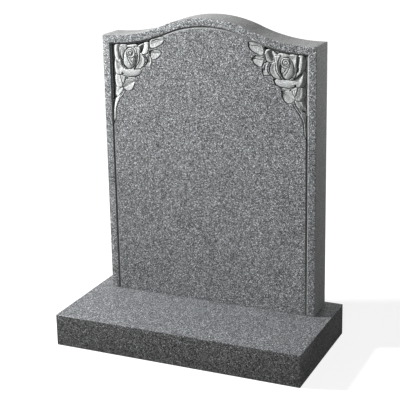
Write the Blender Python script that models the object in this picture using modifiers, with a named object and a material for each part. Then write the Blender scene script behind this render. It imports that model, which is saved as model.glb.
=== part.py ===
"""Upright headstone of grey granite, standing on its own plain base.

The headstone is a flat tablet with an ogee top. A V-shaped border line runs round its front,
and a rose with its leaves and stem is carved into each upper corner, one mirroring the other.
All lengths are in metres, +Z is up, and the carved face looks towards -Y. The origin is the
middle of the base's underside.
"""

import math

import bmesh
import bpy
import numpy as np

# Base block
BASE_WIDTH = 0.6096
BASE_DEPTH = 0.3048
BASE_HEIGHT = 0.0762
BASE_ARRIS = 0.0012
ARRIS_TURN = math.radians(40)

# Headstone slab
STONE_WIDTH = 0.5334
STONE_THICKNESS = 0.0762
STONE_HEIGHT = 0.6858
STONE_ARRIS = 0.0012
BACK_LEDGE = 0.0213
SEAT_GAP = 0.0003

# Ogee top of the headstone
CROWN_RISE = 0.0508
CROWN_RADIUS = 0.2747
SHOULDER_WIDTH = 0.0173
ARC_STEPS = 10

# Border line cut round the front
BORDER_INSET = 0.0213
GROOVE_WIDTH = 0.0066
GROOVE_DEPTH = 0.0032

# Corner carving, whose drawing is laid out in shares of the bloom's width
BLOOM_WIDTH = 0.100
RECESS_DEPTH = 0.0065
CUT_DEPTH = 0.0036
RING_CUT_DEPTH = 0.0028
EDGE_ROLL = 0.0030
LEAF_FOLD = 0.0024
PETAL_SINK = 0.0030
RIM_DEPTH = 0.0007

# Rounding of the forms down to the border line: its width, its curve, and where across it is full and ends
ROUNDING_WIDTH = 0.0120
ROUNDING_CURVE = 1.3
ROUNDING_FULL = 0.008
ROUNDING_END = 0.018

# Rings of the bloom's heart and the field that the carving fills, in shares of the bloom's width
HEART_CENTRE = (0.51, -0.19)
HEART_RINGS = (0.125, 0.084, 0.044)
HEART_OFFSET = 0.008
HEART_TURN = math.radians(150)
FIELD_RIGHT = 1.47
FIELD_BOTTOM = -2.00
FIELD_TOP = 0.38

# Slopes of the chisel's cuts, as depth over width
CUT_SLOPE = 4.0
CREASE_SLOPE = 2.0
PIT_SLOPE = 2.5
WALL_SLOPE = 1.05
WALL_FOOT_SLOPE = 1.6

# Fineness of the carved surface
CARVING_STEP = 0.0011
CARVING_TRIANGLES = 3600
CURVE_STEPS = 4
RING_POINTS = 8
CORNER_TURN = math.radians(68)

# How far the cutting shapes reach past the stone
CUTTER_MARGIN = 0.003
CUTTER_LID = 0.006
WALL_CLEARANCE = 0.0001
MERGE_DISTANCE = 0.00001

# Places worked out from the sizes above
STONE_BOTTOM = BASE_HEIGHT + SEAT_GAP
BACK_Y = BASE_DEPTH / 2 - BACK_LEDGE
FACE_Y = BACK_Y - STONE_THICKNESS
SHOULDER_Z = STONE_BOTTOM + STONE_HEIGHT - CROWN_RISE
FLANK_SPAN = STONE_WIDTH / 2 - SHOULDER_WIDTH
FLANK_RADIUS = (FLANK_SPAN**2 + (CROWN_RADIUS - CROWN_RISE)**2 - CROWN_RADIUS**2) / (2 * CROWN_RISE)
CROWN_ANGLE = math.asin(FLANK_SPAN / (CROWN_RADIUS + FLANK_RADIUS))
CROWN_CENTRE_Z = STONE_BOTTOM + STONE_HEIGHT - CROWN_RADIUS
FLANK_CENTRE_Z = SHOULDER_Z + FLANK_RADIUS
BORDER_SIDE_X = STONE_WIDTH / 2 - BORDER_INSET

GRANITE_GREY = (0.18, 0.19, 0.20, 1.0)
BASE_GREY = (0.15, 0.16, 0.17, 1.0)
GRANITE_ROUGHNESS = 0.35


def clear_scene():
    """Remove the objects that the scene starts with."""
    for thing in list(bpy.data.objects):
        bpy.data.objects.remove(thing, do_unlink=True)


def new_collection(name):
    collection = bpy.data.collections.new(name)
    bpy.context.scene.collection.children.link(collection)
    return collection


def stone_material(name, colour):
    material = bpy.data.materials.new(name)
    material.use_nodes = True
    shader = material.node_tree.nodes["Principled BSDF"]
    shader.inputs["Base Color"].default_value = colour
    shader.inputs["Roughness"].default_value = GRANITE_ROUGHNESS
    shader.inputs["Metallic"].default_value = 0.0
    return material


def add_bevel(thing, width):
    """Take a small arris off every square edge."""
    bevel = thing.modifiers.new("arris", "BEVEL")
    bevel.width = width
    bevel.segments = 1
    bevel.limit_method = "ANGLE"
    bevel.angle_limit = ARRIS_TURN


def cut_with(thing, cutter):
    cut = thing.modifiers.new("cut " + cutter.name, "BOOLEAN")
    cut.operation = "DIFFERENCE"
    cut.solver = "EXACT"
    cut.use_self = True
    cut.object = cutter


# Outline of the top, and the border that follows it


def top_line(inset):
    """Points (x, z) along the stone's top edge moved in by inset, from left to right."""
    side = STONE_WIDTH / 2 - inset
    flank_radius = FLANK_RADIUS + inset
    crown_radius = CROWN_RADIUS - inset
    half = []
    steps = ARC_STEPS + 1
    if side > FLANK_SPAN:
        half.append((side, FLANK_CENTRE_Z - flank_radius))
        steps = ARC_STEPS
    start = math.asin(max(FLANK_SPAN - side, 0.0) / flank_radius)
    for angle in np.linspace(start, CROWN_ANGLE, steps + 1):
        x = FLANK_SPAN - flank_radius * math.sin(angle)
        half.append((x, FLANK_CENTRE_Z - flank_radius * math.cos(angle)))
    for angle in np.linspace(CROWN_ANGLE, 0.0, ARC_STEPS + 1)[1:]:
        x = crown_radius * math.sin(angle)
        half.append((x, CROWN_CENTRE_Z + crown_radius * math.cos(angle)))
    left = [(-x, z) for x, z in half]
    return left + half[-2::-1]


def border_distance(x, z):
    """Distance of each point on the face inward from the valley of the border line."""
    from_middle = np.abs(x)
    side = BORDER_SIDE_X - from_middle
    crown = CROWN_RADIUS - BORDER_INSET - np.hypot(from_middle, z - CROWN_CENTRE_Z)
    flank_turn = np.arctan2(FLANK_SPAN - from_middle, FLANK_CENTRE_Z - z)
    flank = np.hypot(FLANK_SPAN - from_middle, z - FLANK_CENTRE_Z) - FLANK_RADIUS - BORDER_INSET
    flat = SHOULDER_Z - BORDER_INSET - z
    top = np.where(flank_turn < CROWN_ANGLE, flank, crown)
    top = np.where(from_middle > FLANK_SPAN, flat, top)
    return np.minimum(side, top)


# Forms of the corner carving


def smooth_outline(points):
    """A closed curve through the points, which are shares of the bloom's width, with sharp corners
    only where it turns by more than CORNER_TURN."""
    points = BLOOM_WIDTH * np.array(points, float)
    ahead = np.roll(points, -1, axis=0) - points
    behind = points - np.roll(points, 1, axis=0)
    turn = np.arctan2(behind[:, 0] * ahead[:, 1] - behind[:, 1] * ahead[:, 0], (behind * ahead).sum(axis=1))
    sharp = (np.abs(turn) > CORNER_TURN)[:, None]
    leaving = np.where(sharp, ahead, (ahead + behind) / 2)
    arriving = np.where(sharp, behind, (ahead + behind) / 2)
    share = np.linspace(0.0, 1.0, CURVE_STEPS, endpoint=False)[:, None]
    stretches = []
    for here in range(len(points)):
        there = (here + 1) % len(points)
        stretches.append((2 * share**3 - 3 * share**2 + 1) * points[here]
                         + (share**3 - 2 * share**2 + share) * leaving[here]
                         + (3 * share**2 - 2 * share**3) * points[there]
                         + (share**3 - share**2) * arriving[there])
    return np.concatenate(stretches + [points[:1]])


def ring(centre_u, centre_v, radius):
    """Points round a circle."""
    turns = np.linspace(0.0, 2 * math.pi, RING_POINTS, endpoint=False)
    return [(centre_u + radius * math.cos(turn), centre_v + radius * math.sin(turn)) for turn in turns]


def distance_to_line(u, v, line):
    """Distance of each point from a line of straight stretches."""
    nearest = np.full(u.shape, np.inf)
    for start, end in zip(line[:-1], line[1:]):
        step = end - start
        from_u = u - start[0]
        from_v = v - start[1]
        share = np.clip((from_u * step[0] + from_v * step[1]) / float(step @ step), 0.0, 1.0)
        nearest = np.minimum(nearest, np.hypot(from_u - share * step[0], from_v - share * step[1]))
    return nearest


def inside_loop(u, v, loop):
    """Whether each point lies inside a closed outline."""
    inside = np.zeros(u.shape, bool)
    for start, end in zip(loop[:-1], loop[1:]):
        if start[1] == end[1]:
            continue
        crosses = (start[1] > v) != (end[1] > v)
        meet = start[0] + (v - start[1]) * (end[0] - start[0]) / (end[1] - start[1])
        inside ^= crosses & (u < meet)
    return inside


class CornerRelief:
    """Heights of the carved surface over the stone's face, negative where stone is cut away.

    A point's u runs inward from the border line at the side, and v runs up from the border's
    corner. Each form is laid over those before it, with a chiselled line round its outline.
    Places and widths of the forms are shares of the bloom's width.
    """

    def __init__(self, u, v, border):
        self.u = u
        self.v = v
        self.border = border
        self.height = np.full(u.shape, CUTTER_MARGIN)
        self.outer = np.clip((ROUNDING_END - u) / (ROUNDING_END - ROUNDING_FULL), 0.0, 1.0)
        self.form = np.zeros(u.shape, bool)

    def from_line(self, points):
        return distance_to_line(self.u, self.v, BLOOM_WIDTH * np.array(points, float))

    def from_edge(self, outline):
        """Distance inward from a form's outline, negative outside it."""
        loop = smooth_outline(outline)
        distance = distance_to_line(self.u, self.v, loop)
        return np.where(inside_loop(self.u, self.v, loop), distance, -distance)

    def recess(self, width, right_end, lower_end):
        """The sunk ground beside the border line."""
        past = np.maximum(self.border - BLOOM_WIDTH * width, self.u - BLOOM_WIDTH * right_end)
        past = np.maximum(past, BLOOM_WIDTH * lower_end - self.v)
        ground = -RECESS_DEPTH + CUT_SLOPE * np.maximum(past, 0.0)
        self.height = np.minimum(self.height, ground)

    def lay(self, edge, surface, cut=CUT_DEPTH):
        """Lay a form whose outline rolls over into its chiselled line."""
        foot = np.maximum(cut, -surface)
        rolled = (1.0 - np.clip(edge / EDGE_ROLL, 0.0, 1.0))**2
        behind = np.minimum(self.height, -foot - CUT_SLOPE * edge)
        self.form = edge > 0.0
        self.height = np.where(self.form, surface - (foot + surface) * rolled, behind)

    def beside_border(self, edge, surface):
        """The surface of a form, rounded down into the recess on its side next to the border line."""
        rounding = self.outer * (1.0 - np.clip(edge / ROUNDING_WIDTH, 0.0, 1.0))**ROUNDING_CURVE
        return surface - (RECESS_DEPTH + surface) * rounding

    def leaf(self, fold, outline, depth=1.0):
        """A leaf folded down along a line."""
        edge = self.from_edge(outline)
        from_fold = self.from_line(fold)
        rise = from_fold / (from_fold + np.maximum(edge, EDGE_ROLL / 100))
        self.lay(edge, self.beside_border(edge, -RIM_DEPTH - depth * LEAF_FOLD * (1.0 - rise)))

    def petal(self, outline, sink=1.0, reach=0.16, cut=CUT_DEPTH):
        """A petal whose rim stands up and whose inside sinks away."""
        edge = self.from_edge(outline)
        inward = np.clip((edge - EDGE_ROLL / 2) / (BLOOM_WIDTH * reach), 0.0, 1.0)
        self.lay(edge, self.beside_border(edge, -RIM_DEPTH - sink * PETAL_SINK * inward), cut)

    def swelling(self, outline, drop, reach):
        """A rounded form that is highest in its middle."""
        edge = self.from_edge(outline)
        outward = 1.0 - np.clip(edge / (BLOOM_WIDTH * reach), 0.0, 1.0)
        self.lay(edge, self.beside_border(edge, -RIM_DEPTH - drop * PETAL_SINK * outward**2))

    def hollow(self, line, width, depth):
        """A soft trough along a line, within the form that was laid last."""
        trough = np.exp(-(self.from_line(line) / (BLOOM_WIDTH * width))**2)
        sunk = np.maximum(self.height - depth * PETAL_SINK * trough, -RECESS_DEPTH)
        self.height = np.where(self.form, sunk, self.height)

    def crease(self, line, depth):
        """A thin chiselled line across the forms laid so far."""
        self.height = np.minimum(self.height, CREASE_SLOPE * self.from_line(line) - depth)

    def stem(self, ridge, foot, lean):
        """A bent stem, whose flank leans down from its ridge towards the border line."""
        edge = self.from_edge(ridge + foot[::-1])
        from_ridge = np.maximum(self.from_line(ridge) - EDGE_ROLL, 0.0)
        self.lay(edge, -RIM_DEPTH - lean * from_ridge)

    def pit(self, u, v, radius):
        """A round hollow where forms meet."""
        from_centre = np.hypot(self.u - BLOOM_WIDTH * u, self.v - BLOOM_WIDTH * v)
        wall = PIT_SLOPE * np.maximum(from_centre - BLOOM_WIDTH * radius, 0.0)
        self.height = np.minimum(self.height, wall - RECESS_DEPTH)

    def inside_border(self):
        """The finished heights, kept inside the outer wall of the border line."""
        reach = GROOVE_WIDTH / 2 + WALL_CLEARANCE
        outer_wall = -WALL_SLOPE * (self.border + reach)
        inner_wall = -WALL_SLOPE * reach - WALL_FOOT_SLOPE * self.border
        wall = np.where(self.border < 0.0, outer_wall, inner_wall)
        return np.minimum(np.maximum(self.height, wall), CUTTER_MARGIN)


def carve_upper_leaves(relief):
    """Three leaves beside the bloom, towards the crown."""
    relief.leaf([(1.06, 0.05), (1.37, 0.165)],
                [(1.035, -0.05), (1.035, 0.12), (1.13, 0.195), (1.28, 0.235), (1.405, 0.24),
                 (1.40, 0.13), (1.31, 0.03), (1.12, -0.06)], depth=0.6)
    relief.crease([(1.10, 0.12), (1.22, 0.165), (1.33, 0.15)], CUT_DEPTH)
    relief.leaf([(1.03, -0.15), (1.31, -0.14)],
                [(1.015, -0.12), (1.15, -0.07), (1.26, -0.075), (1.33, -0.14), (1.27, -0.24),
                 (1.15, -0.32), (1.07, -0.305)], depth=0.8)
    relief.crease([(1.08, -0.15), (1.17, -0.155), (1.26, -0.14)], CUT_DEPTH)
    relief.petal([(0.88, -0.19), (1.00, -0.20), (1.075, -0.325), (1.045, -0.51), (0.86, -0.505),
                  (0.955, -0.36)], sink=0.5)
    relief.hollow([(1.0, -0.27), (1.01, -0.36)], width=0.04, depth=0.6)


def carve_stem(relief):
    """The stem and the leaves that grow from it under the bloom."""
    relief.stem([(0.345, -1.11), (0.30, -1.20), (0.21, -1.31), (0.13, -1.44), (0.09, -1.58), (0.075, -1.78),
                 (0.02, -1.93)],
                [(0.24, -1.12), (0.13, -1.26), (0.035, -1.33), (0.012, -1.48), (0.0, -1.70)], lean=0.45)
    relief.crease([(0.29, -1.14), (0.22, -1.22), (0.15, -1.32)], CUT_DEPTH)
    relief.leaf([(0.40, -0.775), (0.62, -0.765)],
                [(0.36, -0.80), (0.42, -0.755), (0.56, -0.765), (0.66, -0.745), (0.58, -0.80)])
    relief.leaf([(0.25, -0.99), (0.08, -1.21)],
                [(0.31, -1.06), (0.22, -0.94), (0.10, -1.00), (0.05, -1.12), (0.015, -1.265), (0.13, -1.255),
                 (0.24, -1.17)])
    relief.leaf([(0.30, -1.03), (0.59, -0.86)],
                [(0.62, -0.835), (0.41, -0.80), (0.30, -0.91), (0.29, -1.02), (0.40, -1.115), (0.52, -1.08),
                 (0.585, -0.98)])
    relief.petal([(0.22, -0.68), (0.10, -0.665), (0.045, -0.80), (0.075, -0.99), (0.16, -1.04), (0.28, -1.03),
                  (0.29, -0.90)], sink=0.8)
    relief.petal([(0.21, -0.70), (0.37, -0.77), (0.345, -0.88), (0.295, -0.97), (0.25, -0.86)], sink=0.7)


def carve_outer_petals(relief):
    """The open petals round the bud, from the lowest to the one nearest the bud."""
    relief.swelling([(0.09, -0.29), (0.035, -0.44), (0.055, -0.65), (0.14, -0.735), (0.29, -0.735),
                     (0.44, -0.77), (0.60, -0.755), (0.745, -0.70), (0.81, -0.585), (0.70, -0.545),
                     (0.50, -0.57), (0.31, -0.54)], drop=0.5, reach=0.09)
    relief.hollow([(0.17, -0.43), (0.21, -0.55)], width=0.07, depth=0.9)
    relief.pit(0.285, -0.695, radius=0.012)
    relief.pit(0.41, -0.80, radius=0.008)
    relief.petal([(0.70, -0.02), (0.80, 0.035), (0.90, 0.085), (0.99, 0.085), (1.01, -0.03), (0.97, -0.17),
                  (0.89, -0.21), (0.80, -0.20)], sink=0.5)
    relief.hollow([(0.86, 0.03), (0.80, -0.13)], width=0.055, depth=1.3)
    relief.petal([(0.085, 0.005), (0.22, -0.005), (0.25, -0.14), (0.25, -0.32), (0.285, -0.53),
                  (0.17, -0.42), (0.075, -0.31), (0.045, -0.15)], sink=0.4)
    relief.hollow([(0.20, -0.05), (0.22, -0.20), (0.235, -0.34)], width=0.038, depth=1.0)
    relief.petal([(0.235, -0.01), (0.34, 0.01), (0.44, -0.02), (0.50, -0.10), (0.36, -0.40), (0.31, -0.56),
                  (0.275, -0.35), (0.25, -0.15)], sink=0.8)
    relief.petal([(0.40, -0.03), (0.52, 0.005), (0.66, 0.015), (0.72, -0.04), (0.70, -0.20), (0.55, -0.20)],
                 sink=0.8)
    relief.petal([(0.74, -0.20), (0.82, -0.18), (0.895, -0.30), (0.88, -0.44), (0.78, -0.545),
                  (0.60, -0.585), (0.70, -0.42)])
    relief.petal([(0.62, -0.02), (0.72, -0.03), (0.79, -0.05), (0.765, -0.22), (0.735, -0.40),
                  (0.60, -0.575), (0.67, -0.40), (0.695, -0.20)], sink=0.6)


def carve_bud(relief):
    """The closed bud with two folds down its front, and the rings of its heart."""
    relief.swelling([(0.46, -0.045), (0.36, -0.15), (0.305, -0.32), (0.33, -0.48), (0.45, -0.575),
                     (0.57, -0.54), (0.64, -0.42), (0.655, -0.27), (0.58, -0.10)], drop=0.9, reach=0.13)
    relief.petal([(0.41, -0.14), (0.415, -0.26), (0.46, -0.38), (0.545, -0.50), (0.615, -0.40),
                  (0.635, -0.26), (0.585, -0.12), (0.50, -0.06)], sink=0.4, reach=0.10, cut=RING_CUT_DEPTH)
    relief.petal([(0.45, -0.17), (0.475, -0.28), (0.515, -0.36), (0.58, -0.44), (0.615, -0.30),
                  (0.60, -0.16), (0.52, -0.09)], sink=0.3, reach=0.10, cut=RING_CUT_DEPTH)
    for order, radius in enumerate(HEART_RINGS):
        turn = HEART_TURN * order
        centre_u = HEART_CENTRE[0] + HEART_OFFSET * math.cos(turn)
        centre_v = HEART_CENTRE[1] + HEART_OFFSET * math.sin(turn)
        relief.petal(ring(centre_u, centre_v, radius), sink=0.4, reach=0.04)


def corner_heights(u, v, border):
    relief = CornerRelief(u, v, border)
    relief.recess(width=0.14, right_end=1.02, lower_end=-1.33)
    carve_upper_leaves(relief)
    carve_stem(relief)
    carve_outer_petals(relief)
    carve_bud(relief)
    return relief.inside_border()


# Shapes that cut the stone


def finish_cutter(mesh_data, name, collection):
    mesh = bpy.data.meshes.new(name)
    bmesh.ops.recalc_face_normals(mesh_data, faces=mesh_data.faces)
    mesh_data.to_mesh(mesh)
    mesh_data.free()
    cutter = bpy.data.objects.new(name, mesh)
    cutter.hide_render = True
    cutter.display_type = "WIRE"
    collection.objects.link(cutter)
    return cutter


def groove_cutter(collection):
    """A V-shaped bar that follows the border: up both sides and over the top."""
    spread = GROOVE_WIDTH / 2 * (1 + CUTTER_MARGIN / GROOVE_DEPTH)
    rails = ((-spread, -CUTTER_MARGIN), (spread, -CUTTER_MARGIN), (0.0, GROOVE_DEPTH))
    mesh_data = bmesh.new()
    rows = []
    for shift, depth in rails:
        side = BORDER_SIDE_X - shift
        foot = STONE_BOTTOM - CUTTER_MARGIN
        line = [(-side, foot)] + top_line(BORDER_INSET + shift) + [(side, foot)]
        rows.append([mesh_data.verts.new((x, FACE_Y + depth, z)) for x, z in line])
    for first, second in zip(rows, rows[1:] + rows[:1]):
        for here in range(len(first) - 1):
            mesh_data.faces.new((first[here], first[here + 1], second[here + 1], second[here]))
    mesh_data.faces.new([row[0] for row in rows])
    mesh_data.faces.new([row[-1] for row in rows])
    return finish_cutter(mesh_data, "border groove", collection)


def carving_cutter(side, collection):
    """The carving's surface with a lid in front of the face; side is -1 for left, 1 for right."""
    corner_z = top_line(BORDER_INSET)[0][1]
    left_end = -(GROOVE_WIDTH / 2 + 2 * CUTTER_MARGIN)
    right_end = FIELD_RIGHT * BLOOM_WIDTH
    lower_end = FIELD_BOTTOM * BLOOM_WIDTH
    upper_end = FIELD_TOP * BLOOM_WIDTH
    columns = round((right_end - left_end) / CARVING_STEP)
    rows = round((upper_end - lower_end) / CARVING_STEP)

    mesh_data = bmesh.new()
    bmesh.ops.create_grid(mesh_data, x_segments=columns, y_segments=rows, size=0.5)
    points = np.array([vertex.co[:] for vertex in mesh_data.verts])
    u = left_end + (points[:, 0] + 0.5) * (right_end - left_end)
    v = lower_end + (points[:, 1] + 0.5) * (upper_end - lower_end)
    x = side * (BORDER_SIDE_X - u)
    z = corner_z + v
    heights = corner_heights(u, v, border_distance(x, z))
    for vertex, place in zip(mesh_data.verts, np.stack([x, FACE_Y - heights, z], axis=1)):
        vertex.co = place

    rim = [edge for edge in mesh_data.edges if edge.is_boundary]
    wall = bmesh.ops.extrude_edge_only(mesh_data, edges=rim)["geom"]
    for vertex in wall:
        if isinstance(vertex, bmesh.types.BMVert):
            vertex.co.y = FACE_Y - CUTTER_LID
    lid = [edge for edge in mesh_data.edges if edge.is_boundary]
    bmesh.ops.holes_fill(mesh_data, edges=lid, sides=0)

    name = "carving left" if side < 0 else "carving right"
    cutter = finish_cutter(mesh_data, name, collection)
    thin = cutter.modifiers.new("fewer faces", "DECIMATE")
    thin.ratio = CARVING_TRIANGLES / (2 * columns * rows)
    return cutter


# Base


def build_base(collection):
    centre = (0.0, 0.0, BASE_HEIGHT / 2)
    bpy.ops.mesh.primitive_cube_add(size=1.0, location=centre)
    base = bpy.context.object
    base.name = "base"
    base.data.name = "base"
    base.scale = (BASE_WIDTH, BASE_DEPTH, BASE_HEIGHT)
    bpy.ops.object.transform_apply(location=False, rotation=False, scale=True)
    add_bevel(base, BASE_ARRIS)
    base.data.materials.append(stone_material("granite of the base", BASE_GREY))
    for home in list(base.users_collection):
        home.objects.unlink(base)
    collection.objects.link(base)
    return base


# Headstone


def slab_mesh(collection):
    """The slab as a flat outline given its thickness, standing on its foot."""
    outline = [(-STONE_WIDTH / 2, STONE_BOTTOM)] + top_line(0.0) + [(STONE_WIDTH / 2, STONE_BOTTOM)]
    drawing = bpy.data.curves.new("slab outline", "CURVE")
    drawing.dimensions = "2D"
    drawing.fill_mode = "BOTH"
    drawing.extrude = STONE_THICKNESS / 2
    spline = drawing.splines.new("POLY")
    spline.points.add(len(outline) - 1)
    for corner, (x, z) in zip(spline.points, outline):
        corner.co = (x, z, 0.0, 1.0)
    spline.use_cyclic_u = True
    flat = bpy.data.objects.new("slab outline", drawing)
    flat.location = (0.0, FACE_Y + STONE_THICKNESS / 2, 0.0)
    flat.rotation_euler = (math.radians(90), 0.0, 0.0)
    collection.objects.link(flat)

    bpy.context.view_layer.update()
    evaluated = flat.evaluated_get(bpy.context.evaluated_depsgraph_get())
    mesh = bpy.data.meshes.new_from_object(evaluated)
    mesh_data = bmesh.new()
    mesh_data.from_mesh(mesh)
    bmesh.ops.remove_doubles(mesh_data, verts=mesh_data.verts, dist=MERGE_DISTANCE)
    bmesh.ops.recalc_face_normals(mesh_data, faces=mesh_data.faces)
    mesh_data.to_mesh(mesh)
    mesh_data.free()
    place = flat.matrix_world.copy()
    bpy.data.objects.remove(flat, do_unlink=True)
    return mesh, place


def build_headstone(collection, cutters):
    mesh, place = slab_mesh(collection)
    headstone = bpy.data.objects.new("headstone", mesh)
    headstone.matrix_world = place
    collection.objects.link(headstone)
    mesh.materials.clear()
    mesh.materials.append(stone_material("granite of the headstone", GRANITE_GREY))
    add_bevel(headstone, STONE_ARRIS)
    cut_with(headstone, groove_cutter(cutters))
    cut_with(headstone, carving_cutter(-1, cutters))
    cut_with(headstone, carving_cutter(1, cutters))
    return headstone


def main():
    clear_scene()
    parts = new_collection("upright headstone")
    cutters = new_collection("cutters")
    build_base(parts)
    build_headstone(parts, cutters)
    bpy.context.view_layer.update()


main()
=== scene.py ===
"""Looks of the upright headstone: polished grey granite with frosted carving, on a pale floor.

Lengths are in metres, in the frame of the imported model. The carved face looks towards -Y.
"""

import math

import bmesh
import bpy
import numpy as np
from mathutils import Matrix, Vector


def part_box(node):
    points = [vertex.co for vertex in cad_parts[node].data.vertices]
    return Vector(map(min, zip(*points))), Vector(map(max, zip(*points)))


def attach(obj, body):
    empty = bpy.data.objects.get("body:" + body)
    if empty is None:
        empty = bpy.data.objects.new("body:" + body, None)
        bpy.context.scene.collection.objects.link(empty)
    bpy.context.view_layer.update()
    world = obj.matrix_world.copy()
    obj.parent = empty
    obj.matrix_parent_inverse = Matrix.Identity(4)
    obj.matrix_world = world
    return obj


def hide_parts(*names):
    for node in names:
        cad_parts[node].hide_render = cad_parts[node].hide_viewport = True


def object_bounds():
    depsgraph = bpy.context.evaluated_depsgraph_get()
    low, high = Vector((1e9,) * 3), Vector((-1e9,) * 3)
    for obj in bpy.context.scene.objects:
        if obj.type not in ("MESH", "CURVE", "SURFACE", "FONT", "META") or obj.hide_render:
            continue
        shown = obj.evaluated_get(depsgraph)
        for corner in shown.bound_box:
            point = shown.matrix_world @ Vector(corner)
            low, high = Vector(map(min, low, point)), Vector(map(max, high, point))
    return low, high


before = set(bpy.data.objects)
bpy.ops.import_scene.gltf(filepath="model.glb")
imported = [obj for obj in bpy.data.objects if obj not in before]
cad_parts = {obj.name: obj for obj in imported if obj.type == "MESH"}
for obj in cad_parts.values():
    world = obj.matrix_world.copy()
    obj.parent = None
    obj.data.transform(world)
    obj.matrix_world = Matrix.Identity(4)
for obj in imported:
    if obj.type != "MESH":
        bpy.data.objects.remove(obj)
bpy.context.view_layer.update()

# Sizes read from the frame
BASE_LOW, BASE_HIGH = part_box("base")
STONE_LOW, STONE_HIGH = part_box("headstone")
STONE_WIDTH = STONE_HIGH.x - STONE_LOW.x
STONE_THICKNESS = STONE_HIGH.y - STONE_LOW.y
STONE_BOTTOM = STONE_LOW.z
STONE_TOP = STONE_HIGH.z
FACE_Y = STONE_LOW.y

# Outline of the slab and its border line. Edges sharper than ARRIS_LIMIT get an arris, and edges sharper
# than SMOOTH_LIMIT stay sharp in the shading.
STONE_ARRIS = 0.0012
BASE_ARRIS = 0.0012
ARRIS_SEGMENTS = 3
ARRIS_LIMIT = math.radians(40)
SMOOTH_LIMIT = math.radians(32)
CROWN_RISE = 0.0508
CROWN_RADIUS = 0.2747
SHOULDER_WIDTH = 0.0173
ARC_STEPS = 40
BORDER_INSET = 0.0213
GROOVE_WIDTH = 0.0066
GROOVE_DEPTH = 0.0032

# Corner carving, whose drawing is laid out in shares of the bloom's width
BLOOM_WIDTH = 0.100
RECESS_DEPTH = 0.0065
CUT_DEPTH = 0.0036
RING_CUT_DEPTH = 0.0028
EDGE_ROLL = 0.0030
THINNEST_EDGE = EDGE_ROLL / 100
LEAF_FOLD = 0.0024
PETAL_SINK = 0.0030
RIM_DEPTH = 0.0007

# Rounding of the forms down to the border line: its width and curve, and how far from the line at the
# side it is full and ends
ROUNDING_WIDTH = 0.0120
ROUNDING_CURVE = 1.3
ROUNDING_FULL = 0.008
ROUNDING_END = 0.018

# Rings of the bloom's heart, and the field that the carving fills, in shares of the bloom's width
HEART_CENTRE = (0.51, -0.19)
HEART_RINGS = (0.125, 0.084, 0.044)
HEART_OFFSET = 0.008
HEART_TURN = math.radians(150)
FIELD_RIGHT = 1.47
FIELD_BOTTOM = -2.00
FIELD_TOP = 0.38

# Slopes of the chisel's cuts, as depth over width
CUT_SLOPE = 4.0
CREASE_SLOPE = 2.0
PIT_SLOPE = 2.5
WALL_SLOPE = 1.05
WALL_FOOT_SLOPE = 1.6

# Fineness of the carved surface. An outline keeps a sharp corner where it turns by more than CORNER_TURN.
CARVING_STEP = 0.0007
CARVING_TRIANGLES = 85000
CURVE_STEPS = 6
RING_POINTS = 8
CORNER_TURN = math.radians(68)

# Painted shade where the carving is hollow: how far round a point counts, and the depth below it that is
# painted fully dark
PAINTED_SHADE_REACH = 0.0031
PAINTED_SHADE_DEPTH = 0.0007

# How far the cutting shapes reach past the stone, how far the carving's outer wall stands outside that of
# the border line, and how far below the face a point counts as carved
CUTTER_MARGIN = 0.003
CUTTER_LID = 0.006
WALL_CLEARANCE = 0.0001
CARVED_DEPTH = 0.0001

# Finishes of the slab and of the base, in the order of their material slots. A mesh face looks a certain way
# if its normal's share that way is over FACING.
POLISHED, FROSTED, CUT, RUBBED = range(4)
BASE_SIDES, BASE_TOP = range(2)
FACING = 0.9

# Grain of the granite. Each of GRAIN_TONES is the place in the ramp where a mineral starts, and its tone as a
# multiple of the stone's colour. ROUGHNESS_SPREAD is how much the roughness differs between grains.
GRAIN_SCALE = 660.0
GRAIN_TONES = ((0.0, 0.15), (0.28, 0.50), (0.53, 0.95), (0.76, 1.60), (0.95, 3.2))
WARP_SCALE = 700.0
WARP_DETAIL = 2.0
WARP_REACH = 0.0014
CLOUD_SCALE = 60.0
CLOUD_DETAIL = 3.0
CLOUD_TONES = ((0.3, 0.98), (0.7, 1.02))
FROST_SCALE = 900.0
FROST_DETAIL = 3.0
ROUGHNESS_SPREAD = 0.12

# Floor: how far it reaches each way, its gap under the base, and how white the camera sees it, from near
# the stone to further off
FLOOR_REACH = 30.0
FLOOR_GAP = 0.0005
FLOOR_GREY = 0.25
FLOOR_ROUGHNESS = 0.9
GLOW_NEAR, GLOW_NEAR_DISTANCE = 0.80, 0.4
GLOW_FAR, GLOW_FAR_DISTANCE = 1.0, 2.5

# Room: how bright it looks, also in reflections, and how bright its diffuse light is
ROOM_SEEN = 1.0
ROOM_SHINE = 0.15

# Camera, worked out from the corners of the base and the slab in the photograph. The sensor's width is in
# millimetres.
VIEW_AZIMUTH = math.radians(22.698)
VIEW_ELEVATION = math.radians(15.113)
VIEW_ROLL = math.radians(-0.584)
VIEW_SHIFT_X = -0.100
VIEW_SHIFT_Y = -0.120
FOCAL_PIXELS = 1100.8
FRAME_PIXELS = 400
SENSOR_WIDTH = 36.0
VIEW_TARGET = Vector((0.1057, 0.0, 0.4731))
VIEW_DISTANCE = 2.4713

# Places worked out from the sizes above
SHOULDER_Z = STONE_TOP - CROWN_RISE
FLANK_SPAN = STONE_WIDTH / 2 - SHOULDER_WIDTH
FLANK_RADIUS = (FLANK_SPAN**2 + (CROWN_RADIUS - CROWN_RISE)**2 - CROWN_RADIUS**2) / (2 * CROWN_RISE)
CROWN_ANGLE = math.asin(FLANK_SPAN / (CROWN_RADIUS + FLANK_RADIUS))
CROWN_CENTRE_Z = STONE_TOP - CROWN_RADIUS
FLANK_CENTRE_Z = SHOULDER_Z + FLANK_RADIUS
BORDER_SIDE_X = STONE_WIDTH / 2 - BORDER_INSET
CORNER_Z = SHOULDER_Z - BORDER_INSET


# Outline of the top, and the border that follows it


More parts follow.
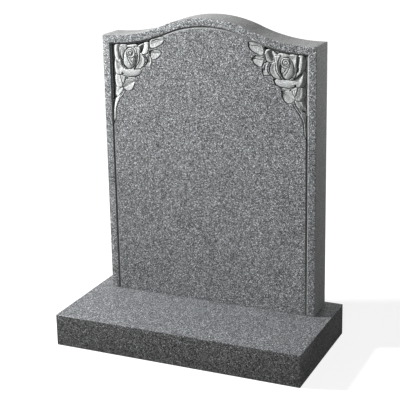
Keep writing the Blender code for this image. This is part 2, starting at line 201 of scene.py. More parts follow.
def top_line(inset):
    """Points (x, z) along the stone's top edge moved in by inset, from left to right."""
    side = STONE_WIDTH / 2 - inset
    flank_radius = FLANK_RADIUS + inset
    crown_radius = CROWN_RADIUS - inset
    half = []
    steps = ARC_STEPS + 1
    if side > FLANK_SPAN:
        half.append((side, FLANK_CENTRE_Z - flank_radius))
        steps = ARC_STEPS
    start = math.asin(max(FLANK_SPAN - side, 0.0) / flank_radius)
    for angle in np.linspace(start, CROWN_ANGLE, steps + 1):
        x = FLANK_SPAN - flank_radius * math.sin(angle)
        half.append((x, FLANK_CENTRE_Z - flank_radius * math.cos(angle)))
    for angle in np.linspace(CROWN_ANGLE, 0.0, ARC_STEPS + 1)[1:]:
        x = crown_radius * math.sin(angle)
        half.append((x, CROWN_CENTRE_Z + crown_radius * math.cos(angle)))
    left = [(-x, z) for x, z in half]
    return left + half[-2::-1]


def border_distance(x, z):
    """Distance of each point on the face inward from the valley of the border line."""
    from_middle = np.abs(x)
    side = BORDER_SIDE_X - from_middle
    crown = CROWN_RADIUS - BORDER_INSET - np.hypot(from_middle, z - CROWN_CENTRE_Z)
    flank_turn = np.arctan2(FLANK_SPAN - from_middle, FLANK_CENTRE_Z - z)
    flank = np.hypot(FLANK_SPAN - from_middle, z - FLANK_CENTRE_Z) - FLANK_RADIUS - BORDER_INSET
    flat = SHOULDER_Z - BORDER_INSET - z
    top = np.where(flank_turn < CROWN_ANGLE, flank, crown)
    top = np.where(from_middle > FLANK_SPAN, flat, top)
    return np.minimum(side, top)


# Forms of the corner carving


def smooth_outline(points):
    """A closed curve through the points, which are shares of the bloom's width, with sharp corners
    only where it turns by more than CORNER_TURN."""
    points = BLOOM_WIDTH * np.array(points, float)
    ahead = np.roll(points, -1, axis=0) - points
    behind = points - np.roll(points, 1, axis=0)
    turn = np.arctan2(behind[:, 0] * ahead[:, 1] - behind[:, 1] * ahead[:, 0], (behind * ahead).sum(axis=1))
    sharp = (np.abs(turn) > CORNER_TURN)[:, None]
    leaving = np.where(sharp, ahead, (ahead + behind) / 2)
    arriving = np.where(sharp, behind, (ahead + behind) / 2)
    share = np.linspace(0.0, 1.0, CURVE_STEPS, endpoint=False)[:, None]
    stretches = []
    for here in range(len(points)):
        there = (here + 1) % len(points)
        stretches.append((2 * share**3 - 3 * share**2 + 1) * points[here]
                         + (share**3 - 2 * share**2 + share) * leaving[here]
                         + (3 * share**2 - 2 * share**3) * points[there]
                         + (share**3 - share**2) * arriving[there])
    return np.concatenate(stretches + [points[:1]])


def ring(centre_u, centre_v, radius):
    """Points round a circle."""
    turns = np.linspace(0.0, 2 * math.pi, RING_POINTS, endpoint=False)
    return [(centre_u + radius * math.cos(turn), centre_v + radius * math.sin(turn)) for turn in turns]


def distance_to_line(u, v, line):
    """Distance of each point from a line of straight stretches."""
    nearest = np.full(u.shape, np.inf)
    for start, end in zip(line[:-1], line[1:]):
        step = end - start
        from_u = u - start[0]
        from_v = v - start[1]
        share = np.clip((from_u * step[0] + from_v * step[1]) / float(step @ step), 0.0, 1.0)
        nearest = np.minimum(nearest, np.hypot(from_u - share * step[0], from_v - share * step[1]))
    return nearest


def inside_loop(u, v, loop):
    """Whether each point lies inside a closed outline."""
    inside = np.zeros(u.shape, bool)
    for start, end in zip(loop[:-1], loop[1:]):
        if start[1] == end[1]:
            continue
        crosses = (start[1] > v) != (end[1] > v)
        meet = start[0] + (v - start[1]) * (end[0] - start[0]) / (end[1] - start[1])
        inside ^= crosses & (u < meet)
    return inside


class CornerRelief:
    """Heights of the carved surface over the stone's face, negative where stone is cut away.

    A point's u runs inward from the border line at the side, and v runs up from the border's
    corner. Each form is laid over those before it, with a chiselled line round its outline.
    Places and widths of the forms are shares of the bloom's width.
    """

    def __init__(self, u, v, border):
        self.u = u
        self.v = v
        self.border = border
        self.height = np.full(u.shape, CUTTER_MARGIN)
        self.outer = np.clip((ROUNDING_END - u) / (ROUNDING_END - ROUNDING_FULL), 0.0, 1.0)
        self.form = np.zeros(u.shape, bool)

    def from_line(self, points):
        """Distance of each point from a line through the points."""
        return distance_to_line(self.u, self.v, BLOOM_WIDTH * np.array(points, float))

    def from_edge(self, outline):
        """Distance inward from a form's outline, negative outside it."""
        loop = smooth_outline(outline)
        distance = distance_to_line(self.u, self.v, loop)
        return np.where(inside_loop(self.u, self.v, loop), distance, -distance)

    def recess(self, width, right_end, lower_end):
        """The sunk ground beside the border line."""
        past = np.maximum(self.border - BLOOM_WIDTH * width, self.u - BLOOM_WIDTH * right_end)
        past = np.maximum(past, BLOOM_WIDTH * lower_end - self.v)
        ground = -RECESS_DEPTH + CUT_SLOPE * np.maximum(past, 0.0)
        self.height = np.minimum(self.height, ground)

    def lay(self, edge, surface, cut=CUT_DEPTH):
        """Lay a form whose outline rolls over into its chiselled line."""
        foot = np.maximum(cut, -surface)
        rolled = (1.0 - np.clip(edge / EDGE_ROLL, 0.0, 1.0))**2
        behind = np.minimum(self.height, -foot - CUT_SLOPE * edge)
        self.form = edge > 0.0
        self.height = np.where(self.form, surface - (foot + surface) * rolled, behind)

    def beside_border(self, edge, surface):
        """The surface of a form, rounded down into the recess on its side next to the border line."""
        rounding = self.outer * (1.0 - np.clip(edge / ROUNDING_WIDTH, 0.0, 1.0))**ROUNDING_CURVE
        return surface - (RECESS_DEPTH + surface) * rounding

    def leaf(self, fold, outline, depth=1.0):
        """A leaf folded down along a line."""
        edge = self.from_edge(outline)
        from_fold = self.from_line(fold)
        rise = from_fold / (from_fold + np.maximum(edge, THINNEST_EDGE))
        self.lay(edge, self.beside_border(edge, -RIM_DEPTH - depth * LEAF_FOLD * (1.0 - rise)))

    def petal(self, outline, sink=1.0, reach=0.16, cut=CUT_DEPTH):
        """A petal whose rim stands up and whose inside sinks away."""
        edge = self.from_edge(outline)
        inward = np.clip((edge - EDGE_ROLL / 2) / (BLOOM_WIDTH * reach), 0.0, 1.0)
        self.lay(edge, self.beside_border(edge, -RIM_DEPTH - sink * PETAL_SINK * inward), cut)

    def swelling(self, outline, drop, reach):
        """A rounded form that is highest in its middle."""
        edge = self.from_edge(outline)
        outward = 1.0 - np.clip(edge / (BLOOM_WIDTH * reach), 0.0, 1.0)
        self.lay(edge, self.beside_border(edge, -RIM_DEPTH - drop * PETAL_SINK * outward**2))

    def hollow(self, line, width, depth):
        """A soft trough along a line, within the form that was laid last."""
        trough = np.exp(-(self.from_line(line) / (BLOOM_WIDTH * width))**2)
        sunk = np.maximum(self.height - depth * PETAL_SINK * trough, -RECESS_DEPTH)
        self.height = np.where(self.form, sunk, self.height)

    def crease(self, line, depth):
        """A thin chiselled line across the forms laid so far."""
        self.height = np.minimum(self.height, CREASE_SLOPE * self.from_line(line) - depth)

    def stem(self, ridge, foot, lean):
        """A bent stem, whose flank leans down from its ridge towards the border line."""
        edge = self.from_edge(ridge + foot[::-1])
        from_ridge = np.maximum(self.from_line(ridge) - EDGE_ROLL, 0.0)
        self.lay(edge, -RIM_DEPTH - lean * from_ridge)

    def pit(self, u, v, radius):
        """A round hollow where forms meet."""
        from_centre = np.hypot(self.u - BLOOM_WIDTH * u, self.v - BLOOM_WIDTH * v)
        wall = PIT_SLOPE * np.maximum(from_centre - BLOOM_WIDTH * radius, 0.0)
        self.height = np.minimum(self.height, wall - RECESS_DEPTH)

    def inside_border(self):
        """The finished heights, kept inside the outer wall of the border line."""
        reach = GROOVE_WIDTH / 2 + WALL_CLEARANCE
        outer_wall = -WALL_SLOPE * (self.border + reach)
        inner_wall = -WALL_SLOPE * reach - WALL_FOOT_SLOPE * self.border
        wall = np.where(self.border < 0.0, outer_wall, inner_wall)
        return np.minimum(np.maximum(self.height, wall), CUTTER_MARGIN)


def carve_upper_leaves(relief):
    """Three leaves beside the bloom, towards the crown."""
    relief.leaf([(1.06, 0.05), (1.37, 0.165)],
                [(1.035, -0.05), (1.035, 0.12), (1.13, 0.195), (1.28, 0.235), (1.405, 0.24),
                 (1.40, 0.13), (1.31, 0.03), (1.12, -0.06)], depth=0.6)
    relief.crease([(1.10, 0.12), (1.22, 0.165), (1.33, 0.15)], CUT_DEPTH)
    relief.leaf([(1.03, -0.15), (1.31, -0.14)],
                [(1.015, -0.12), (1.15, -0.07), (1.26, -0.075), (1.33, -0.14), (1.27, -0.24),
                 (1.15, -0.32), (1.07, -0.305)], depth=0.8)
    relief.crease([(1.08, -0.15), (1.17, -0.155), (1.26, -0.14)], CUT_DEPTH)
    relief.petal([(0.88, -0.19), (1.00, -0.20), (1.075, -0.325), (1.045, -0.51), (0.86, -0.505),
                  (0.955, -0.36)], sink=0.5)
    relief.hollow([(1.0, -0.27), (1.01, -0.36)], width=0.04, depth=0.6)


def carve_stem(relief):
    """The stem and the leaves that grow from it under the bloom."""
    relief.stem([(0.345, -1.11), (0.30, -1.20), (0.21, -1.31), (0.13, -1.44), (0.09, -1.58), (0.075, -1.78),
                 (0.02, -1.93)],
                [(0.24, -1.12), (0.13, -1.26), (0.035, -1.33), (0.012, -1.48), (0.0, -1.70)], lean=0.45)
    relief.crease([(0.29, -1.14), (0.22, -1.22), (0.15, -1.32)], CUT_DEPTH)
    relief.leaf([(0.40, -0.775), (0.62, -0.765)],
                [(0.36, -0.80), (0.42, -0.755), (0.56, -0.765), (0.66, -0.745), (0.58, -0.80)])
    relief.leaf([(0.25, -0.99), (0.08, -1.21)],
                [(0.31, -1.06), (0.22, -0.94), (0.10, -1.00), (0.05, -1.12), (0.015, -1.265), (0.13, -1.255),
                 (0.24, -1.17)])
    relief.leaf([(0.30, -1.03), (0.59, -0.86)],
                [(0.62, -0.835), (0.41, -0.80), (0.30, -0.91), (0.29, -1.02), (0.40, -1.115), (0.52, -1.08),
                 (0.585, -0.98)])
    relief.petal([(0.22, -0.68), (0.10, -0.665), (0.045, -0.80), (0.075, -0.99), (0.16, -1.04), (0.28, -1.03),
                  (0.29, -0.90)], sink=0.8)
    relief.petal([(0.21, -0.70), (0.37, -0.77), (0.345, -0.88), (0.295, -0.97), (0.25, -0.86)], sink=0.7)


def carve_outer_petals(relief):
    """The open petals round the bud, from the lowest to the one nearest the bud."""
    relief.swelling([(0.09, -0.29), (0.035, -0.44), (0.055, -0.65), (0.14, -0.735), (0.29, -0.735),
                     (0.44, -0.77), (0.60, -0.755), (0.745, -0.70), (0.81, -0.585), (0.70, -0.545),
                     (0.50, -0.57), (0.31, -0.54)], drop=0.5, reach=0.09)
    relief.hollow([(0.17, -0.43), (0.21, -0.55)], width=0.07, depth=0.9)
    relief.pit(0.285, -0.695, radius=0.012)
    relief.pit(0.41, -0.80, radius=0.008)
    relief.petal([(0.70, -0.02), (0.80, 0.035), (0.90, 0.085), (0.99, 0.085), (1.01, -0.03), (0.97, -0.17),
                  (0.89, -0.21), (0.80, -0.20)], sink=0.5)
    relief.hollow([(0.86, 0.03), (0.80, -0.13)], width=0.055, depth=1.3)
    relief.petal([(0.085, 0.005), (0.22, -0.005), (0.25, -0.14), (0.25, -0.32), (0.285, -0.53),
                  (0.17, -0.42), (0.075, -0.31), (0.045, -0.15)], sink=0.4)
    relief.hollow([(0.20, -0.05), (0.22, -0.20), (0.235, -0.34)], width=0.038, depth=1.0)
    relief.petal([(0.235, -0.01), (0.34, 0.01), (0.44, -0.02), (0.50, -0.10), (0.36, -0.40), (0.31, -0.56),
                  (0.275, -0.35), (0.25, -0.15)], sink=0.8)
    relief.petal([(0.40, -0.03), (0.52, 0.005), (0.66, 0.015), (0.72, -0.04), (0.70, -0.20), (0.55, -0.20)],
                 sink=0.8)
    relief.petal([(0.74, -0.20), (0.82, -0.18), (0.895, -0.30), (0.88, -0.44), (0.78, -0.545),
                  (0.60, -0.585), (0.70, -0.42)])
    relief.petal([(0.62, -0.02), (0.72, -0.03), (0.79, -0.05), (0.765, -0.22), (0.735, -0.40),
                  (0.60, -0.575), (0.67, -0.40), (0.695, -0.20)], sink=0.6)


def carve_bud(relief):
    """The closed bud with two folds down its front, and the rings of its heart."""
    relief.swelling([(0.46, -0.045), (0.36, -0.15), (0.305, -0.32), (0.33, -0.48), (0.45, -0.575),
                     (0.57, -0.54), (0.64, -0.42), (0.655, -0.27), (0.58, -0.10)], drop=0.9, reach=0.13)
    relief.petal([(0.41, -0.14), (0.415, -0.26), (0.46, -0.38), (0.545, -0.50), (0.615, -0.40),
                  (0.635, -0.26), (0.585, -0.12), (0.50, -0.06)], sink=0.4, reach=0.10, cut=RING_CUT_DEPTH)
    relief.petal([(0.45, -0.17), (0.475, -0.28), (0.515, -0.36), (0.58, -0.44), (0.615, -0.30),
                  (0.60, -0.16), (0.52, -0.09)], sink=0.3, reach=0.10, cut=RING_CUT_DEPTH)
    for order, radius in enumerate(HEART_RINGS):
        turn = HEART_TURN * order
        centre_u = HEART_CENTRE[0] + HEART_OFFSET * math.cos(turn)
        centre_v = HEART_CENTRE[1] + HEART_OFFSET * math.sin(turn)
        relief.petal(ring(centre_u, centre_v, radius), sink=0.4, reach=0.04)


class CarvingField:
    """The carved heights of one upper corner on a grid, with the shade painted where it is hollow; the grid
    serves both corners by mirroring.
    """

    def __init__(self):
        self.left_end = -(GROOVE_WIDTH / 2 + 2 * CUTTER_MARGIN)
        self.right_end = FIELD_RIGHT * BLOOM_WIDTH
        self.lower_end = FIELD_BOTTOM * BLOOM_WIDTH
        self.upper_end = FIELD_TOP * BLOOM_WIDTH
        self.columns = round((self.right_end - self.left_end) / CARVING_STEP)
        self.rows = round((self.upper_end - self.lower_end) / CARVING_STEP)
        self.u, self.v = np.meshgrid(np.linspace(self.left_end, self.right_end, self.columns + 1),
                                     np.linspace(self.lower_end, self.upper_end, self.rows + 1))
        relief = CornerRelief(self.u, self.v, border_distance(BORDER_SIDE_X - self.u, CORNER_Z + self.v))
        relief.recess(width=0.14, right_end=1.02, lower_end=-1.33)
        carve_upper_leaves(relief)
        carve_stem(relief)
        carve_outer_petals(relief)
        carve_bud(relief)
        self.heights = relief.inside_border()
        # Painted shade: each point is painted darker the deeper it lies below the mean height round it
        surface = np.minimum(self.heights, 0.0)
        self.painted_shade = np.clip((self.around(surface) - surface) / PAINTED_SHADE_DEPTH, 0.0, 1.0)

    def around(self, surface):
        """The mean height of the surface round each point."""
        reach = max(1, round(PAINTED_SHADE_REACH / CARVING_STEP))
        for axis in (0, 1):
            shifts = [np.roll(surface, shift, axis) for shift in range(-reach, reach + 1)]
            surface = sum(shifts) / len(shifts)
        return surface

    def painted_shade_at(self, u, v):
        """How much painted shade each place gets for lying in a hollow, from 0 to 1, by the nearest point of
        the grid.
        """
        column = (u - self.left_end) / (self.right_end - self.left_end) * self.columns
        row = (v - self.lower_end) / (self.upper_end - self.lower_end) * self.rows
        inside = (column > 0) & (column < self.columns) & (row > 0) & (row < self.rows)
        column = np.clip(np.round(column), 0, self.columns).astype(int)
        row = np.clip(np.round(row), 0, self.rows).astype(int)
        return np.where(inside, self.painted_shade[row, column], 0.0)


# Materials

# Sockets of the Mix node that carry its factor and its colours
MIX_FACTOR, MIX_FIRST, MIX_SECOND, MIX_RESULT = 0, 6, 7, 2


class Nodes:
    """A small helper that adds nodes to a material or world and links them."""

    def __init__(self, owner, shader="Principled BSDF"):
        owner.use_nodes = True
        self.tree = owner.node_tree
        self.shader = self.tree.nodes[shader]

    def add(self, kind, **settings):
        node = self.tree.nodes.new("ShaderNode" + kind)
        for name, value in settings.items():
            setattr(node, name, value)
        return node

    def link(self, source, target):
        self.tree.links.new(source, target)

    def texture(self, kind, place, scale, **inputs):
        node = self.add(kind)
        self.link(place, node.inputs["Vector"])
        node.inputs["Scale"].default_value = scale
        for name, value in inputs.items():
            node.inputs[name].default_value = value
        return node

    def math(self, operation, *values):
        node = self.add("Math", operation=operation)
        for socket, value in zip(node.inputs, values):
            if isinstance(value, float):
                socket.default_value = value
            else:
                self.link(value, socket)
        return node.outputs["Value"]

    def ramp(self, source, stops, interpolation="LINEAR"):
        """A colour ramp, to whose first and last stop the others are added."""
        node = self.add("ValToRGB")
        node.color_ramp.interpolation = interpolation
        elements = node.color_ramp.elements
        for place, _ in stops[1:-1]:
            elements.new(place)
        for element, (place, colour) in zip(elements, stops):
            element.position = place
            element.color = (*colour, 1.0)
        self.link(source, node.inputs["Fac"])
        return node.outputs["Color"]

    def multiply(self, first, second):
        node = self.add("Mix", data_type="RGBA", blend_type="MULTIPLY")
        node.inputs[MIX_FACTOR].default_value = 1.0
        self.link(first, node.inputs[MIX_FIRST])
        self.link(second, node.inputs[MIX_SECOND])
        return node.outputs[MIX_RESULT]


def grey(level):
    return (level,) * 3


def granite(name, colour, contrast, roughness, specular, bump=0.0, hollow_painted_shade=0.0):
    """Speckled granite: dark mica, grey quartz and pale feldspar, with grains about 1.5 mm across.

    The contrast is that of the grains, bump is the depth of small pits, and hollow_painted_shade is how
    much painted shade darkens the carving's colour where it is hollow.
    """
    material = bpy.data.materials.new(name)
    nodes = Nodes(material)
    place = nodes.add("TexCoord").outputs["Object"]
    warp = nodes.texture("TexNoise", place, WARP_SCALE, Detail=WARP_DETAIL)
    bent = nodes.add("VectorMath", operation="MULTIPLY_ADD")
    warp_socket, reach_socket, place_socket = bent.inputs[:3]
    nodes.link(warp.outputs["Color"], warp_socket)
    reach_socket.default_value = (WARP_REACH,) * 3
    nodes.link(place, place_socket)
    place = bent.outputs["Vector"]

    grains = nodes.texture("TexVoronoi", place, GRAIN_SCALE)
    tone = nodes.add("SeparateColor")
    nodes.link(grains.outputs["Color"], tone.inputs["Color"])
    stops = []
    for share, level in GRAIN_TONES:
        level = 1.0 + (level - 1.0) * contrast
        stops.append((share, tuple(min(1.0, channel * level) for channel in colour)))
    speckle = nodes.ramp(tone.outputs["Red"], stops, "CONSTANT")

    cloud = nodes.texture("TexNoise", place, CLOUD_SCALE, Detail=CLOUD_DETAIL)
    shade = nodes.ramp(cloud.outputs["Fac"], [(share, grey(level)) for share, level in CLOUD_TONES])
    speckle = nodes.multiply(speckle, shade)
    # Painted shade: the colour is darkened where the carving is hollow, by the 'hollow' attribute on the mesh
    if hollow_painted_shade > 0.0:
        hollow = nodes.add("Attribute", attribute_name="hollow").outputs["Fac"]
        dark = nodes.ramp(hollow, ((0.0, grey(1.0)), (1.0, grey(1.0 - hollow_painted_shade))))
        speckle = nodes.multiply(speckle, dark)
    nodes.link(speckle, nodes.shader.inputs["Base Color"])

    smoothest = roughness - ROUGHNESS_SPREAD / 2
    rough = nodes.math("MULTIPLY_ADD", tone.outputs["Green"], ROUGHNESS_SPREAD, smoothest)
    nodes.link(rough, nodes.shader.inputs["Roughness"])
    nodes.shader.inputs["Specular IOR Level"].default_value = specular

    if bump > 0.0:
        pits = nodes.texture("TexNoise", place, FROST_SCALE, Detail=FROST_DETAIL)
        relief = nodes.add("Bump")
        relief.inputs["Strength"].default_value = 1.0
        relief.inputs["Distance"].default_value = bump
        nodes.link(pits.outputs["Fac"], relief.inputs["Height"])
        nodes.link(relief.outputs["Normal"], nodes.shader.inputs["Normal"])
    return material


# Helpers for meshes


def add_thing(name, mesh_data, *materials):
    """A thing in the scene with this mesh and these material slots."""
    mesh = bpy.data.meshes.new(name)
    mesh_data.to_mesh(mesh)
    mesh_data.free()
    for material in materials:
        mesh.materials.append(material)
    thing = bpy.data.objects.new(name, mesh)
    bpy.context.scene.collection.objects.link(thing)
    return thing


def move_points(extruded, y):
    """Move the points of what was extruded to y."""
    for part in extruded:
        if isinstance(part, bmesh.types.BMVert):
            part.co.y = y


# Shapes that cut the stone


def groove_cutter(material):
    """A V-shaped bar that follows the border: up both sides and over the top."""
    spread = GROOVE_WIDTH / 2 * (1 + CUTTER_MARGIN / GROOVE_DEPTH)
    rails = ((-spread, -CUTTER_MARGIN), (spread, -CUTTER_MARGIN), (0.0, GROOVE_DEPTH))
    mesh_data = bmesh.new()
    rows = []
    for shift, depth in rails:
        side = BORDER_SIDE_X - shift
        foot = STONE_BOTTOM - CUTTER_MARGIN
        line = [(-side, foot)] + top_line(BORDER_INSET + shift) + [(side, foot)]
        rows.append([mesh_data.verts.new((x, FACE_Y + depth, z)) for x, z in line])
    for first, second in zip(rows, rows[1:] + rows[:1]):
        for here in range(len(first) - 1):
            mesh_data.faces.new((first[here], first[here + 1], second[here + 1], second[here]))
    mesh_data.faces.new([row[0] for row in rows])
    mesh_data.faces.new([row[-1] for row in rows])
    bmesh.ops.recalc_face_normals(mesh_data, faces=mesh_data.faces)
    return add_thing("border_groove", mesh_data, material)


def carving_cutter(side, field, material):
    """The carving's surface with a lid in front of the face; side is -1 for left and 1 for right."""
    x = side * (BORDER_SIDE_X - field.u)
    places = np.stack([x, FACE_Y - field.heights, CORNER_Z + field.v], axis=-1).reshape(-1, 3)
    mesh_data = bmesh.new()
    points = [mesh_data.verts.new(place) for place in places]
    across = field.columns + 1
    for row in range(field.rows):
        for here in range(row * across, row * across + field.columns):
            above = here + across
            mesh_data.faces.new((points[here], points[here + 1], points[above + 1], points[above]))

    grid = np.arange(len(points)).reshape(-1, across)
    round_grid = np.concatenate([grid[0, :-1], grid[:-1, -1], grid[-1, :0:-1], grid[:0:-1, 0]])
    rim = [points[here] for here in round_grid]
    lid = [mesh_data.verts.new((point.co.x, FACE_Y - CUTTER_LID, point.co.z)) for point in rim]
    for here in range(len(rim)):
        mesh_data.faces.new((rim[here - 1], rim[here], lid[here], lid[here - 1]))
    mesh_data.faces.new(lid)

    bmesh.ops.recalc_face_normals(mesh_data, faces=mesh_data.faces)
    cutter = add_thing("carving_left" if side < 0 else "carving_right", mesh_data, material)
    thin = cutter.modifiers.new("fewer faces", "DECIMATE")
    thin.ratio = min(1.0, CARVING_TRIANGLES / (2 * field.columns * field.rows))
    return cutter


# Pieces


def round_edges(thing, width):
    bevel = thing.modifiers.new("arris", "BEVEL")
    bevel.width = width
    bevel.segments = ARRIS_SEGMENTS
    bevel.limit_method = "ANGLE"
    bevel.angle_limit = ARRIS_LIMIT


def flatten(thing):
    """Replace a thing's mesh by what its modifiers make of it."""
    bpy.context.view_layer.update()
    evaluated = thing.evaluated_get(bpy.context.evaluated_depsgraph_get())
    mesh = bpy.data.meshes.new_from_object(evaluated)
    thing.modifiers.clear()
    thing.data = mesh
    return mesh


def smooth(mesh):
    """Smooth shading, but for the sharp edges."""
    mesh.shade_smooth()
    mesh.set_sharp_from_angle(angle=SMOOTH_LIMIT)


def slab(*materials):
    """The slab as a flat outline given its thickness."""
    outline = [(-STONE_WIDTH / 2, STONE_BOTTOM)] + top_line(0.0) + [(STONE_WIDTH / 2, STONE_BOTTOM)]
    mesh_data = bmesh.new()
    front = mesh_data.faces.new([mesh_data.verts.new((x, FACE_Y, z)) for x, z in outline])
    back = bmesh.ops.extrude_face_region(mesh_data, geom=[front])["geom"]
    move_points(back, FACE_Y + STONE_THICKNESS)
    bmesh.ops.recalc_face_normals(mesh_data, faces=mesh_data.faces)
    return add_thing("headstone_slab", mesh_data, *materials)


def finish_border_wall(mesh):
    """Give the wall that the carving's cutter leaves outside the border line the finish of that line."""
    for face in mesh.polygons:
        x, _, z = face.center
        if face.material_index == FROSTED and border_distance(x, z) < 0.0:
            face.material_index = CUT


def mark_painted_shade(mesh, field):
    """Store at each point of the mesh how much painted shade it gets for lying in a hollow of the carving."""
    places = np.empty(3 * len(mesh.vertices))
    mesh.vertices.foreach_get("co", places)
    x, y, z = places.reshape(-1, 3).T
    carved = (y > FACE_Y + CARVED_DEPTH) & (y < FACE_Y + RECESS_DEPTH + CUTTER_MARGIN)
    painted_shade = field.painted_shade_at(BORDER_SIDE_X - np.abs(x), z - CORNER_Z)
    layer = mesh.attributes.new("hollow", "FLOAT", "POINT")
    layer.data.foreach_set("value", np.where(carved, painted_shade, 0.0))


def build_headstone(polished, frosted, cut_stone, rubbed):
    """The slab with its border line and its two carved corners."""
    field = CarvingField()
    piece = slab(polished, frosted, cut_stone, rubbed)
    round_edges(piece, STONE_ARRIS)
    mesh = flatten(piece)
    for face in mesh.polygons:
        face.material_index = POLISHED if face.normal.y < -FACING else RUBBED

    cutters = [groove_cutter(cut_stone)]
    for side in (-1, 1):
        cutters.append(carving_cutter(side, field, frosted))
    for cutter in cutters:
        cut = piece.modifiers.new("cut " + cutter.name, "BOOLEAN")
        cut.operation = "DIFFERENCE"
        cut.solver = "EXACT"
        cut.material_mode = "TRANSFER"
        cut.object = cutter
    mesh = flatten(piece)
    for cutter in cutters:
        bpy.data.objects.remove(cutter)
    finish_border_wall(mesh)
    mark_painted_shade(mesh, field)
    smooth(mesh)
    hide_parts("headstone")
    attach(piece, "root")


def build_base(polished, honed_and_painted_lighter):
    """The block under the slab, polished round its sides, with a hone finish on top whose colour is painted
    lighter than the sides' to stand in for the light that falls on it from above.
    """
    centre = (BASE_LOW + BASE_HIGH) / 2
    size = BASE_HIGH - BASE_LOW
    mesh_data = bmesh.new()
    place = Matrix.Translation(centre) @ Matrix.Diagonal((*size, 1.0))
    bmesh.ops.create_cube(mesh_data, size=1.0, matrix=place)
    piece = add_thing("base_block", mesh_data, polished, honed_and_painted_lighter)
    round_edges(piece, BASE_ARRIS)
    mesh = flatten(piece)
    # The top's faces get the granite that is painted lighter for the light from above.
    for face in mesh.polygons:
        face.material_index = BASE_TOP if face.normal.z > FACING else BASE_SIDES
    smooth(mesh)
    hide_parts("base")
    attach(piece, "root")


# Studio


def area_light(name, place, target, size, spread, power):
    """A round soft light that looks at its target; the spread is in degrees and the power in watts."""
    light = bpy.data.lights.new(name, "AREA")
    light.shape = "DISK"
    light.size = size
    light.spread = math.radians(spread)
    light.energy = power
    thing = bpy.data.objects.new(name, light)
    thing.location = place
    thing.rotation_euler = (Vector(place) - Vector(target)).to_track_quat("Z", "Y").to_euler()
    bpy.context.scene.collection.objects.link(thing)


def floor_material():
    """A pale floor, whiter further off, which the camera sees lighter than it shines on the stone."""
    material = bpy.data.materials.new("pale floor")
    nodes = Nodes(material)
    nodes.shader.inputs["Base Color"].default_value = (*grey(FLOOR_GREY), 1.0)
    nodes.shader.inputs["Roughness"].default_value = FLOOR_ROUGHNESS
    nodes.shader.inputs["Emission Color"].default_value = (*grey(1.0), 1.0)
    distance = nodes.add("VectorMath", operation="LENGTH")
    nodes.link(nodes.add("TexCoord").outputs["Object"], distance.inputs[0])
    glow = nodes.add("MapRange", interpolation_type="SMOOTHSTEP")
    glow.inputs["From Min"].default_value = GLOW_NEAR_DISTANCE
    glow.inputs["From Max"].default_value = GLOW_FAR_DISTANCE
    glow.inputs["To Min"].default_value = GLOW_NEAR
    glow.inputs["To Max"].default_value = GLOW_FAR
    nodes.link(distance.outputs["Value"], glow.inputs["Value"])
    seen = nodes.add("LightPath").outputs["Is Camera Ray"]
    strength = nodes.math("MULTIPLY", seen, glow.outputs["Result"])
    nodes.link(strength, nodes.shader.inputs["Emission Strength"])
    return material


def build_floor():
    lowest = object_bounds()[0][2]
    mesh_data = bmesh.new()
    bmesh.ops.create_grid(mesh_data, x_segments=1, y_segments=1, size=FLOOR_REACH)
    floor = add_thing("floor", mesh_data, floor_material())
    floor.location.z = lowest - FLOOR_GAP


def build_room():
    """A white room, whose diffuse light is weaker than it looks."""
    world = bpy.data.worlds.new("pale room")
    nodes = Nodes(world, "Background")
    nodes.shader.inputs["Color"].default_value = (*grey(1.0), 1.0)
    strength = nodes.add("MapRange")
    strength.inputs["To Min"].default_value = ROOM_SEEN
    strength.inputs["To Max"].default_value = ROOM_SHINE
    nodes.link(nodes.add("LightPath").outputs["Is Diffuse Ray"], strength.inputs["Value"])
    nodes.link(strength.outputs["Result"], nodes.shader.inputs["Strength"])
    bpy.context.scene.world = world


def build_lights():
    """The key from the upper left, a fill from behind on the right, and a weak light on the base."""
    area_light("key", (-2.11, -0.75, 1.83), (0.2, 0.05, 0.80), size=0.35, spread=100, power=82.0)
    area_light("fill", (1.9, 1.0, 1.35), (0.27, 0.1, 0.95), size=1.0, spread=60, power=4.2)
    area_light("bounce", (0.45, -1.50, 0.30), (0.20, -0.15, -0.20), size=0.7, spread=34, power=0.75)


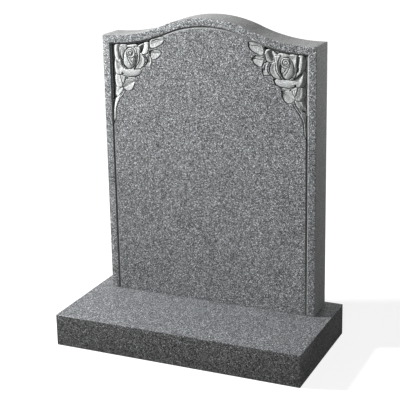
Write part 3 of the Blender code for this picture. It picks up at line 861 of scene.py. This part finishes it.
def build_camera():
    """The camera at the photograph's angle, with a little of its shift."""
    forward = Vector((-math.sin(VIEW_AZIMUTH) * math.cos(VIEW_ELEVATION),
                      math.cos(VIEW_AZIMUTH) * math.cos(VIEW_ELEVATION), -math.sin(VIEW_ELEVATION)))
    level_right = forward.cross(Vector((0.0, 0.0, 1.0))).normalized()
    level_up = level_right.cross(forward)
    right = level_right * math.cos(VIEW_ROLL) + level_up * math.sin(VIEW_ROLL)
    up = right.cross(forward)
    lens = bpy.data.cameras.new("camera")
    lens.sensor_width = SENSOR_WIDTH
    lens.lens = FOCAL_PIXELS / FRAME_PIXELS * SENSOR_WIDTH
    lens.shift_x = VIEW_SHIFT_X
    lens.shift_y = VIEW_SHIFT_Y
    camera = bpy.data.objects.new("camera", lens)
    turn = Matrix((right, up, -forward)).transposed()
    camera.matrix_world = Matrix.Translation(VIEW_TARGET - forward * VIEW_DISTANCE) @ turn.to_4x4()
    bpy.context.scene.collection.objects.link(camera)
    bpy.context.scene.camera = camera


def main():
    polished = granite("polished granite", (0.19, 0.197, 0.202), contrast=1.0, roughness=0.36, specular=0.4)
    # The frosted carving has painted shade where it is hollow.
    frosted = granite("frosted granite", (0.345, 0.355, 0.355), contrast=0.4, roughness=0.8, specular=0.2,
                      bump=0.0002, hollow_painted_shade=0.93)
    cut_stone = granite("cut granite", (0.163, 0.168, 0.169), contrast=0.3, roughness=0.7, specular=0.2)
    rubbed = granite("rubbed granite", (0.170, 0.172, 0.172), contrast=0.4, roughness=0.7, specular=0.2)
    base_sides = granite("polished granite of the base", (0.067, 0.068, 0.069), contrast=1.1, roughness=0.3,
                         specular=0.3)
    # The base's top has a hone finish, with its colour painted lighter than the sides' for the light that
    # falls on it from above.
    base_top = granite("honed granite of the base", (0.125, 0.13, 0.135), contrast=1.0, roughness=0.5,
                       specular=0.15)
    build_headstone(polished, frosted, cut_stone, rubbed)
    build_base(base_sides, base_top)
    build_floor()
    build_room()
    build_lights()
    build_camera()
    bpy.context.scene.view_settings.view_transform = "Standard"


main()
